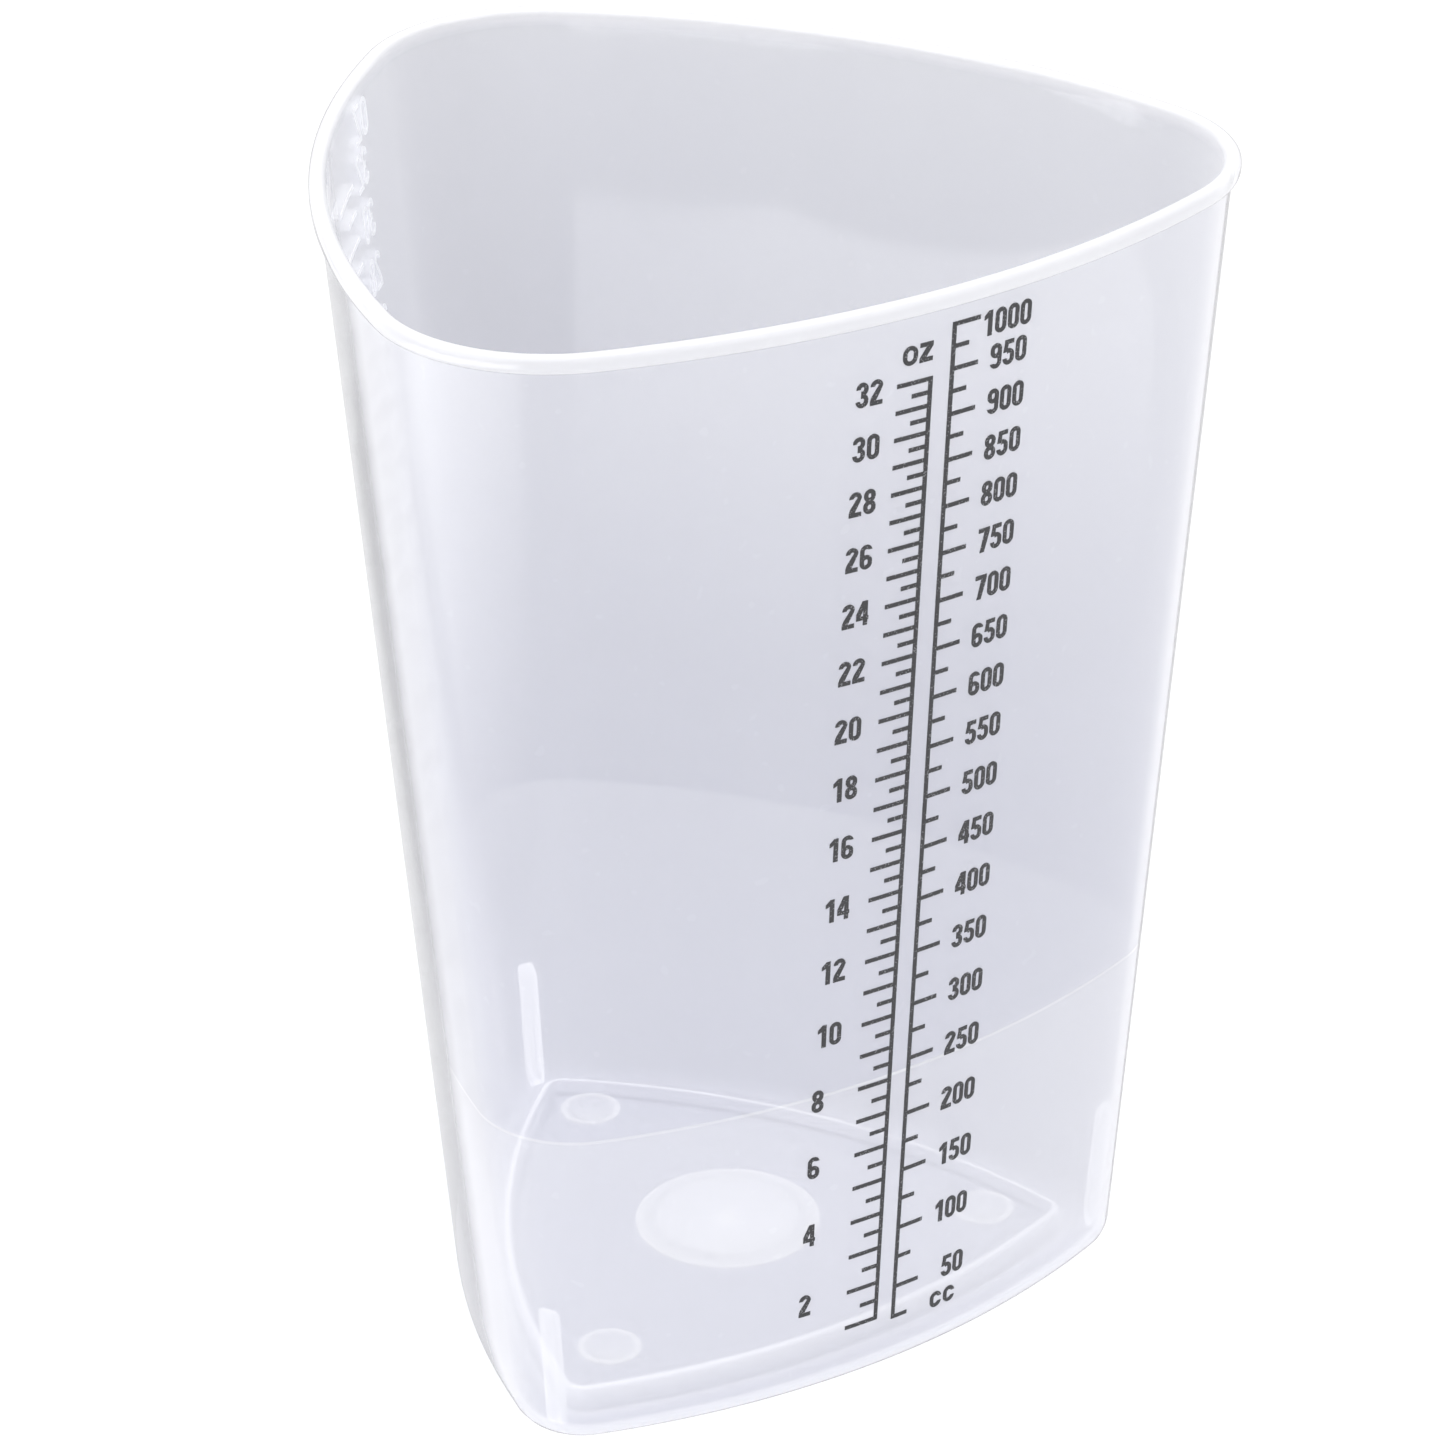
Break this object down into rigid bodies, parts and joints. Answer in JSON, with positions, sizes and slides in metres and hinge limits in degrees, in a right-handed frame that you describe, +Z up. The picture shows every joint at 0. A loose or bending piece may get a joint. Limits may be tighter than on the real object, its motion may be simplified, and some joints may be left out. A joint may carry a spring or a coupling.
{
  "type": "darkroom graduate",
  "caption": "Three-sided tapered translucent 1000 cc / 32 oz graduate with a rim bead, raised floor, printed double scale and a moulded ounce scale.",
  "frame": {"origin": "middle of the bounding box, in the plane the graduate stands on", "axes": "+Z up, from the foot to the rim; -Y out of the front side, which carries the printed scales; +X to the right of that side"},
  "size_m": [0.116, 0.1126, 0.1546],
  "materials": {
    "polypropylene": "translucent natural polypropylene, smooth with a soft gloss",
    "black_ink": "thin screen-printed black ink"
  },
  "bodies": {
    "root": {"side_wall": "polypropylene", "rim_bead": "polypropylene", "base_heel": "polypropylene", "raised_floor": "polypropylene", "corner_ribs": "polypropylene", "floor_pads": "polypropylene", "centre_disc": "polypropylene", "gate_spot": "polypropylene", "moulded_marks": "polypropylene", "moulded_numerals": "polypropylene", "moulded_unit": "polypropylene", "oz_marks": "black_ink", "oz_numerals": "black_ink", "oz_unit": "black_ink", "cc_marks": "black_ink", "cc_numerals": "black_ink", "cc_unit": "black_ink"}
  },
  "joints": []
}
